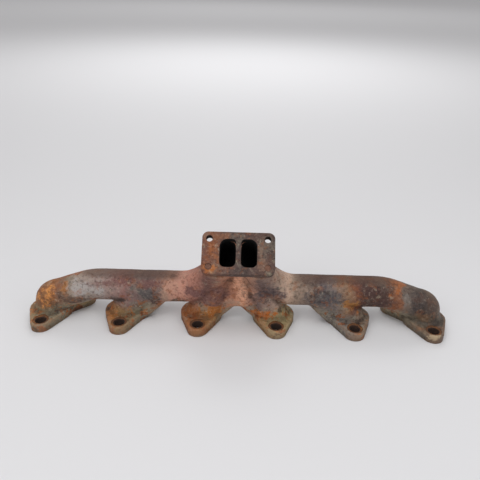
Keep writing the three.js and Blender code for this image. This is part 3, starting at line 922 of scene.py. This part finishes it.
@dataclass
class Casting:
    """The iron casting, drawn whole and then parted into its named regions."""

    finishes: Finishes
    coarse: float = 2.0 * MM
    fine: float = 1.25 * MM
    lug_radius: float = 15.7 * MM
    ear_radius: float = 29.8 * MM
    boss_radius: float = 27 * MM
    neck_radius: float = 21 * MM
    bolt_radius: float = 7.8 * MM
    seat_radius: float = 12 * MM
    seat_depth: float = 0.8 * MM
    clear: float = 1.8 * MM
    pieces: list[bpy.types.Object] = field(default_factory=list)

    def build(self) -> None:
        """Draws, cuts and parts the casting."""
        solids = self._pipes() + self._bosses() + self._feet() + self._webs()
        core = joined(solids + self._plates(0.0), "core")
        remesh(core, self.coarse, 16, 0.6)
        core = joined([core] + self._plates(4 * MM) + self._neck_stub(), "core")
        remesh(core, self.fine, 5)
        self._feel_hollows(core)
        self._roughen(core)
        core.data.materials.clear()
        core.data.materials.append(self.finishes.skin)
        log.info("casting skin: %d faces", len(core.data.polygons))
        for side in Side:
            passage = self._passage(side)
            cut_away(core, passage)
            discard(passage)
        drills = joined(self._drills(), "drills")
        cut_away(core, drills)
        discard(drills)
        log.info("casting cut: %d faces", len(core.data.polygons))
        self._part(core)

    # ---- solids

    def _pipes(self) -> list[bpy.types.Object]:
        """The outsides of every pipe."""
        work = Pipework()
        return [pipe for side in Side for pipe in work.of_bank(side)]

    def _bosses(self) -> list[bpy.types.Object]:
        """The bosses behind the tapped holes and the web in the fork of the centre branches."""
        lay = LAYOUT
        made = []
        for side in Side:
            x = side.value * (lay.turbo_size[0] / 2 - 22 * MM)
            y = -lay.turbo_holes[1] / 2
            line = [[
                lay.on_turbo(x, y, -lay.turbo_thickness + 1 * MM),
                lay.on_turbo(x, y, -lay.turbo_thickness - 44 * MM),
                lay.at(side, lay.straight_end, lay.log_height),
            ]]
            made.append(Pipe(
                f"boss_{side.label}", line, across=(20 * MM, 19.3 * MM),
                along=(13.5 * MM, 19.3 * MM), power=(2.5, 2.0), rings=24,
            ).build())
        top = lay.on_turbo(0, -4 * MM, -lay.turbo_thickness - lay.throat)
        middle = Vector((0, lay.row_y, 0))
        line = [[
            middle + Vector((0, 0, lay.branch_top)),
            middle + Vector((0, 0, lay.log_height)),
            top - lay.turbo_normal * 20 * MM,
            top,
        ]]
        made.append(Pipe(
            "saddle", line, across=(lay.port_x(1) - lay.branch_width / 3, lay.mouth_offset),
            along=(19 * MM, 23 * MM), power=(4.0, 3.0), rings=24,
        ).build())
        return made

    def _feet(self) -> list[bpy.types.Object]:
        """The flare at the foot of every branch."""
        lay = LAYOUT
        made = []
        for side in Side:
            for index in (1, 2, 3):
                x = lay.port_x(index) + lay.foot_flare / 2
                low = 2 * MM
                made.append(Pipe(
                    f"foot_{side.label}_{index}",
                    [[lay.at(side, x, low), lay.at(side, x, low + lay.foot_height)]],
                    across=(lay.branch_width / 2 + lay.foot_flare,
                            lay.branch_width / 2 - lay.wall),
                    along=(lay.branch_depth / 2 + lay.foot_flare * 0.8,
                           lay.branch_depth / 2 - lay.wall),
                    rings=14,
                ).build())
        return made

    def _webs(self) -> list[bpy.types.Object]:
        """The web from each middle plate's arm up to the underside of the log."""
        lay = LAYOUT
        made = []
        for side in Side:
            for index in (1, 2):
                x = lay.port_x(index) - lay.upper_bolt_inboard[index - 1] / 3
                foot = lay.at(side, x, lay.plate_thickness - 5 * MM, 2 * MM)
                head = lay.at(side, x - lay.web_lean, lay.web_height)
                made.append(Pipe(
                    f"web_{side.label}_{index}", [[foot, head]],
                    across=(20 * MM, 22 * MM), along=(16 * MM, 20 * MM),
                    power=(2.5, 2.5), rings=16,
                ).build())
        return made

    def _neck_stub(self) -> list[bpy.types.Object]:
        """A thin plate just under the turbocharger flange, so that the neck flares to meet it."""
        lay = LAYOUT
        deselect_all()
        bpy.ops.mesh.primitive_cube_add(size=1)
        stub = bpy.context.active_object
        width, depth = lay.turbo_size
        stub.scale = (width - 36 * MM, depth - 12 * MM, 9 * MM)
        bpy.ops.object.transform_apply(location=False, rotation=False, scale=True)
        stub.data.transform(
            lay.turbo_frame @ Matrix.Translation((0, 0, -lay.turbo_thickness + 2.7 * MM))
        )
        return [stub]

    def _band(self, discs: Sequence[tuple[float, float, float]], low: float, high: float,
              name: str) -> bpy.types.Object:
        """A plate in the shape of a tight band round discs.

        Args:
            discs: (x, y, radius) of each.
            low: height of the underside.
            high: height of the top.
            name: object name.

        Returns:
            The plate.
        """
        deselect_all()
        x, y, radius = discs[0]
        size = {"vertices": 56, "depth": high - low}
        middle = (low + high) / 2
        bpy.ops.mesh.primitive_cylinder_add(radius=radius, location=(0, 0, 0), **size)
        band = bpy.context.active_object
        band.data.transform(Matrix.Translation((x, y, middle)))
        band.name = name
        with editing(band):
            for x, y, radius in discs[1:]:
                bpy.ops.mesh.primitive_cylinder_add(radius=radius, location=(x, y, middle), **size)
            bpy.ops.mesh.select_all(action="SELECT")
            bpy.ops.mesh.convex_hull()
        return band

    def _plates(self, below: float) -> list[bpy.types.Object]:
        """The six port flanges, run `below` under the port faces to be cut flush later."""
        lay = LAYOUT
        made = []
        for number in range(1, 7):
            x = lay.flange_x(number)
            inboard = -math.copysign(1, x)
            row = lay.row_y
            lower = (x, row - lay.lower_bolt_drop, self.lug_radius)
            ear = (x, row, self.ear_radius)
            boss = (x + inboard * lay.port_inboard, row, self.boss_radius)
            neck = (boss[0], row + self.lug_radius / 3, self.neck_radius)
            upper = (*lay.upper_bolt(number), self.lug_radius)
            top = lay.plate_thickness
            made.append(self._band([lower, ear, boss], -below, top, f"plate_{number}"))
            made.append(self._band([neck, upper], -below, top, f"arm_{number}"))
        return made

    # ---- cutters

    def _passage(self, side: Side) -> bpy.types.Object:
        """The gas way of one bank, kept to its own side of the dividing wall."""
        passage = joined(Pipework(inset=LAYOUT.wall).of_bank(side), f"passage_{side.label}")
        remesh(passage, 1.5 * MM, 3)
        passage.data.materials.clear()
        passage.data.materials.append(self.finishes.soot)
        return passage

    def _drills(self) -> list[bpy.types.Object]:
        """Bolt holes with a worn chamfer and the machined seat round each."""
        lay = LAYOUT
        seat = lay.plate_thickness - self.seat_depth
        steps = [
            (self.bolt_radius, -8 * MM),
            (self.bolt_radius, seat - 1.2 * MM),
            (self.bolt_radius + 1.0 * MM, seat),
            (self.seat_radius, seat),
            (self.seat_radius + 0.4 * MM, seat + 12 * MM),
        ]
        made = []
        for number in range(1, 7):
            lower = (lay.flange_x(number), lay.row_y - lay.lower_bolt_drop)
            for x, y in (lower, lay.upper_bolt(number)):
                made.append(self._turned(steps, x, y))
        return made

    def _turned(self, steps: Sequence[tuple[float, float]], x: float,
                y: float) -> bpy.types.Object:
        """A round solid extruded from step to step.

        Args:
            steps: (radius, height) of each step, upwards.
            x: place of its axis.
            y: place of its axis.

        Returns:
            The solid, in the bore's finish.
        """
        deselect_all()
        radius, height = steps[0]
        bpy.ops.mesh.primitive_circle_add(vertices=48, radius=radius, fill_type="NGON")
        turned = bpy.context.active_object
        turned.data.transform(Matrix.Translation((x, y, height)))
        with editing(turned):
            bpy.ops.mesh.select_all(action="SELECT")
            for (was, low), (now, high) in zip(steps, steps[1:]):
                bpy.ops.mesh.extrude_region()
                bpy.ops.transform.translate(value=(0, 0, high - low))
                grow = now / was
                bpy.ops.transform.resize(value=(grow, grow, 1), center_override=(x, y, high))
            bpy.ops.mesh.select_all(action="SELECT")
            bpy.ops.mesh.normals_make_consistent(inside=False)
        turned.data.materials.append(self.finishes.bore)
        turned.data.materials.append(self.finishes.seat)
        for face in turned.data.polygons:
            reach = (face.center.xy - Vector((x, y))).length
            on_seat = abs(face.normal.z) > 0.99 and face.center.z > 0 and len(face.vertices) == 4
            face.material_index = int(on_seat or reach > self.seat_radius * 0.95)
        return turned

    def _feel_hollows(self, core: bpy.types.Object) -> None:
        """Keeps how deep each place lies in the creases, or how proud on a ridge, as "hollow"; the material
        paints shade into creases with it.
        """
        mesh = core.data
        count = len(mesh.vertices)
        place = np.empty(count * 3, np.float32)
        mesh.vertices.foreach_get("co", place)
        place = place.reshape(-1, 3).astype(np.float64)
        normal = np.empty(count * 3, np.float32)
        mesh.vertex_normals.foreach_get("vector", normal)
        edges = np.empty(len(mesh.edges) * 2, np.int32)
        mesh.edges.foreach_get("vertices", edges)
        edges = edges.reshape(-1, 2)
        ends = np.concatenate([edges[:, 0], edges[:, 1]])
        others = np.concatenate([edges[:, 1], edges[:, 0]])
        share = 1.0 / np.bincount(ends, minlength=count)
        smooth = place.copy()
        for _ in range(40):
            smooth = np.stack([
                np.bincount(ends, smooth[others, k], minlength=count) * share for k in range(3)
            ], axis=1)
        depth = ((smooth - place) * normal.reshape(-1, 3)).sum(1)
        hollow = np.clip(depth / (1.0 * MM), -1, 1).astype(np.float32)
        mesh.attributes.new("hollow", "FLOAT", "POINT").data.foreach_set("value", hollow)

    def _roughen(self, core: bpy.types.Object) -> None:
        """Hand-rammed unevenness and sand grain of the cast skin."""
        for name, size, height in (("ramming", 26, 0.9), ("sand", 5.0, 0.28)):
            texture = bpy.data.textures.new(name, "CLOUDS")
            texture.noise_scale = size * MM
            texture.noise_depth = 3
            finish_modifier(
                core, "DISPLACE", texture=texture, strength=height * MM, mid_level=0.5,
                texture_coords="LOCAL",
            )

    # ---- parting

    def _part(self, core: bpy.types.Object) -> None:
        """Cuts the casting into the CAD's regions along the same planes."""
        lay = LAYOUT
        up, out = Vector((0, 0, 1)), Vector((1, 0, 0))
        plate_top = lay.plate_thickness + self.clear
        plates, upper = self._split(core, Vector((0, 0, plate_top)), up)
        bisect(plates, Vector((0, 0, 0.1 * MM)), -up)
        self._share_plates(plates)
        neck = lay.on_turbo(0, 0, -lay.turbo_thickness)
        bisect(upper, neck, lay.turbo_normal)
        runner_x = lay.port_x(2)
        elbow_x = lay.port_x(3) - 34 * MM
        outer_x = runner_x + lay.branch_width / 2 + 6 * MM
        inner_x = runner_x - lay.branch_sweep * 0.8
        neck_x = lay.straight_end + 1 * MM
        divider_x = lay.divider / 2 - 0.8 * MM
        throat = lay.on_turbo(0, 0, -lay.turbo_thickness - lay.throat - lay.parting / 2)
        floor = Vector((0, 0, lay.branch_top - self.clear))
        middle = upper
        for side in Side:
            sign = out * side.value
            middle, bank = self._split(middle, sign * divider_x, sign)
            bank, elbow = self._split(bank, sign * elbow_x, sign)
            bank, outer = self._split(bank, sign * outer_x, sign)
            self._keep(elbow, f"end_elbow_{side.port(1)}")
            self._keep(outer, f"log_outer_{side.label}")
            centre, bank = self._split(bank, sign * neck_x, sign)
            runner, straight = self._split(bank, floor, up)
            inner, straight = self._split(straight, sign * inner_x, sign)
            self._keep(runner, f"runner_{side.port(2)}")
            self._keep(straight, f"log_middle_{side.label}")
            self._keep(inner, f"log_inner_{side.label}")
            foot, collector = self._split(centre, floor, up)
            collector, mouth = self._split(collector, throat, lay.turbo_normal)
            self._keep(foot, f"runner_{side.port(3)}")
            self._keep(collector, f"collector_{side.label}")
            self._keep(mouth, f"throat_{side.label}")
        self._keep(middle, "divider_wall")

    def _split(
        self, whole: bpy.types.Object, point: Vector, normal: Vector
    ) -> tuple[bpy.types.Object, bpy.types.Object]:
        """Parts a solid in two along a plane.

        Args:
            whole: solid, which becomes the near part.
            point: any point of the plane.
            normal: direction of the far part.

        Returns:
            The part against the normal and the part along it.
        """
        far = copy_of(whole, "far_part")
        bisect(whole, point, normal)
        bisect(far, point, -normal)
        return whole, far

    def _share_plates(self, plates: bpy.types.Object) -> None:
        """Gives each port flange its own piece."""
        out = Vector((1, 0, 0))
        rest = plates
        for number in range(1, 6):
            edge = (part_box(f"port_flange_{number}")[1].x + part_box(f"port_flange_{number + 1}")[0].x) / 2
            plate, rest = self._split(rest, out * edge, out)
            self._keep(plate, f"port_flange_{number}")
        self._keep(rest, "port_flange_6")

    def _keep(self, piece: bpy.types.Object, node: str) -> None:
        """Names a finished region and lets it stand for its CAD node."""
        piece.name = f"{node}_cast"
        piece.data.name = piece.name
        crisp(piece)
        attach(piece, "root")
        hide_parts(node)
        self.pieces.append(piece)
        log.info("%s: %d faces", piece.name, len(piece.data.polygons))


# ---------------------------------------------------------------- turbocharger flange


@dataclass
class TurboFlange:
    """The machined flange with its two gas openings, four holes and two snapped studs."""

    finishes: Finishes
    corner_radius: float = 9 * MM
    edge: float = 0.7 * MM
    hole_radius: float = 4.9 * MM
    stud_length: float = 11.4 * MM
    stud_sunk: float = 0.8 * MM
    outer_radius: float = 11.5 * MM
    lower_radius: float = 8 * MM
    inner_radius: float = 6 * MM

    def _block(self, size: Vector, name: str) -> bpy.types.Object:
        """A plain block in the flange's own axes."""
        deselect_all()
        bpy.ops.mesh.primitive_cube_add(size=1)
        block = bpy.context.active_object
        block.name = name
        block.scale = size
        bpy.ops.object.transform_apply(location=False, rotation=False, scale=True)
        return block

    def _round(self, block: bpy.types.Object, radius: float, corners: Sequence[tuple[int, int]],
               segments: int = 10) -> None:
        """Rounds the upright edges at the given (x, y) signs."""
        with editing(block):
            bpy.ops.mesh.select_mode(type="EDGE")
            bpy.ops.mesh.select_all(action="DESELECT")
            mesh = bmesh.from_edit_mesh(block.data)
            for edge in mesh.edges:
                a, b = (v.co for v in edge.verts)
                upright = abs(a.z - b.z) > 1e-6 and (a.xy - b.xy).length < 1e-6
                chosen = upright and any(a.x * sx > 0 and a.y * sy > 0 for sx, sy in corners)
                edge.select_set(chosen)
            bmesh.update_edit_mesh(block.data)
            bpy.ops.mesh.bevel(offset=radius, segments=segments, affect="EDGES")

    def build(self) -> None:
        """Builds the flange and the studs."""
        lay = LAYOUT
        width, depth = lay.turbo_size
        flange = self._block(Vector((width, depth, lay.turbo_thickness)), "turbo_flange_machined")
        everywhere = ((1, 1), (1, -1), (-1, 1), (-1, -1))
        self._round(flange, self.corner_radius, everywhere, 12)
        finish_modifier(flange, "BEVEL", width=self.edge, segments=3, limit_method="ANGLE",
                        angle_limit=math.radians(50))
        flange.data.materials.append(self.finishes.face)
        for side in Side:
            self._cut_mouth(flange, side)
            for row in (1, -1):
                self._drill(flange, side, row)
        flange.data.transform(
            lay.turbo_frame @ Matrix.Translation((0, 0, -lay.turbo_thickness / 2))
        )
        crisp(flange, 30)
        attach(flange, "root")
        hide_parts("turbo_flange")
        log.info("%s: %d faces", flange.name, len(flange.data.polygons))
        for side in Side:
            self._stud(side)

    def _cut_mouth(self, flange: bpy.types.Object, side: Side) -> None:
        """Cuts one gas opening, its upper outer corner rounder than the rest."""
        lay = LAYOUT
        width, height = lay.mouth
        mouth = self._block(Vector((width, height, lay.turbo_thickness * 2)), "mouth")
        outer = side.value
        self._round(mouth, self.outer_radius, [(outer, 1)])
        self._round(mouth, self.lower_radius, [(outer, -1), (-outer, -1)], 7)
        self._round(mouth, self.inner_radius, [(-outer, 1)], 6)
        mouth.data.transform(Matrix.Translation((side.value * lay.mouth_offset, 0, 0)))
        mouth.data.materials.append(self.finishes.soot)
        cut_away(flange, mouth)
        discard(mouth)

    def _drill(self, flange: bpy.types.Object, side: Side, row: int) -> None:
        """Drills one hole."""
        lay = LAYOUT
        deselect_all()
        bpy.ops.mesh.primitive_cylinder_add(
            vertices=32, radius=self.hole_radius, depth=lay.turbo_thickness * 2
        )
        drill = bpy.context.active_object
        spacing_x, spacing_y = lay.turbo_holes
        drill.data.transform(
            Matrix.Translation((side.value * spacing_x / 2, row * spacing_y / 2, 0))
        )
        drill.data.materials.append(self.finishes.bore)
        cut_away(flange, drill)
        discard(drill)

    def _stud(self, side: Side) -> None:
        """What is left of a snapped stud, its end torn and uneven."""
        lay = LAYOUT
        deselect_all()
        radius = self.hole_radius - lay.parting
        bpy.ops.mesh.primitive_cylinder_add(vertices=32, radius=radius, depth=self.stud_length)
        stud = bpy.context.active_object
        stud.name = f"stud_stub_{side.label}_steel"
        with editing(stud):
            bpy.ops.mesh.select_all(action="DESELECT")
            mesh = bmesh.from_edit_mesh(stud.data)
            mesh.faces.ensure_lookup_table()
            top = max(mesh.faces, key=lambda f: f.calc_center_median().z)
            top.select_set(True)
            bmesh.update_edit_mesh(stud.data)
            bpy.ops.mesh.inset(thickness=0.6 * MM)
            bpy.ops.mesh.inset(thickness=1.6 * MM)
            bpy.ops.mesh.poke()
            mesh = bmesh.from_edit_mesh(stud.data)
            for corner in mesh.verts:
                reach = corner.co.xy.length
                if corner.co.z > 0 and reach < radius * 0.9:
                    tear = math.sin(corner.co.x * 900 + side.value) * math.cos(corner.co.y * 1300)
                    corner.co.z += tear * 0.5 * MM - 0.3 * MM
            bmesh.update_edit_mesh(stud.data)
        x = side.value * lay.turbo_holes[0] / 2
        y = -lay.turbo_holes[1] / 2
        depth = -self.stud_sunk - self.stud_length / 2
        stud.data.transform(lay.turbo_frame @ Matrix.Translation((x, y, depth)))
        stud.data.materials.append(self.finishes.stud)
        crisp(stud, 30)
        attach(stud, "root")
        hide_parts(f"stud_stub_{side.label}")
        log.info("%s: %d faces", stud.name, len(stud.data.polygons))


# ---------------------------------------------------------------- studio


@dataclass
class Studio:
    """Pale floor, soft light and the camera."""

    lens: float = 37.48
    camera_place: tuple[float, float, float] = (5.919, -659.895, 479.591)
    forward: tuple[float, float, float] = (-0.00582779, 0.88922177, -0.45743927)
    roll: float = math.radians(1.39)

    def build(self) -> None:
        """Builds the floor, lights and camera."""
        self._floor()
        self._lights()
        self._camera()

    def _floor(self) -> None:
        """A wide pale floor just under the port faces."""
        deselect_all()
        bpy.ops.mesh.primitive_plane_add(size=60, location=(0, 0, 0))
        floor = bpy.context.active_object
        floor.name = "floor"
        floor.data.transform(Matrix.Translation((0, 0, -0.0004)))
        made = bpy.data.materials.new("pale_floor")
        made.use_nodes = True
        shader = made.node_tree.nodes["Principled BSDF"]
        shader.inputs["Base Color"].default_value = tone("#dcdcde")
        shader.inputs["Roughness"].default_value = 0.85
        shader.inputs["Specular IOR Level"].default_value = 0.1
        floor.data.materials.append(made)

    def _area(self, name: str, place: Sequence[float], aim: Sequence[float], size: float,
              watts: float, spread: float = 180.0) -> None:
        """One soft area light, its beam `spread` degrees wide."""
        data = bpy.data.lights.new(name, "AREA")
        data.shape = "DISK"
        data.size = size
        data.energy = watts
        data.spread = math.radians(spread)
        lamp = bpy.data.objects.new(name, data)
        bpy.context.scene.collection.objects.link(lamp)
        lamp.location = place
        way = Vector(aim) - Vector(place)
        lamp.rotation_euler = way.to_track_quat("-Z", "Y").to_euler()

    def _lights(self) -> None:
        """Even sky light, three soft lamps and two more for the floor behind."""
        scene = bpy.context.scene
        world = bpy.data.worlds.new("studio")
        scene.world = world
        world.use_nodes = True
        sky = world.node_tree.nodes["Background"]
        sky.inputs["Color"].default_value = (1.0, 0.985, 0.985, 1.0)
        sky.inputs["Strength"].default_value = 0.5
        self._area("overhead", (0.0, -0.55, 1.7), (0, 0, 0), 1.3, 10.5)
        self._area("window", (-0.9, -1.1, 1.1), (0, 0, 0.05), 0.9, 5)
        self._area("fill", (1.1, -0.6, 0.9), (0, 0, 0.05), 0.8, 2)
        self._area("behind", (0.0, 2.8, 2.8), (0, 2.8, 0), 2.4, 24, spread=110)
        self._area("backdrop", (0.0, 10.0, 8.0), (0, 10.0, 0), 7.0, 85, spread=130)
        scene.view_settings.view_transform = "Standard"

    def _camera(self) -> None:
        """The camera, looking down on the manifold from its turbocharger side."""
        data = bpy.data.cameras.new("camera")
        data.lens = self.lens
        data.sensor_width = 36
        data.clip_start = 0.02
        data.clip_end = 50
        camera = bpy.data.objects.new("camera", data)
        bpy.context.scene.collection.objects.link(camera)
        ahead = Vector(self.forward).normalized()
        level = ahead.cross(Vector((0, 0, 1))).normalized()
        top = level.cross(ahead)
        right = level * math.cos(self.roll) + top * math.sin(self.roll)
        up = top * math.cos(self.roll) - level * math.sin(self.roll)
        turn = Matrix((right, up, -ahead)).transposed()
        place = Vector(self.camera_place) * MM + Vector((0, LAYOUT.row_y, 0))
        camera.matrix_world = Matrix.Translation(place) @ turn.to_4x4()
        bpy.context.scene.camera = camera


def main() -> None:
    """Builds the manifold and the studio."""
    logging.basicConfig(level=logging.INFO, format="%(message)s")
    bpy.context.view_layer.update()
    finishes = Finishes.build()
    Casting(finishes).build()
    TurboFlange(finishes).build()
    Studio().build()
    deselect_all()


if __name__ == "__main__":
    main()
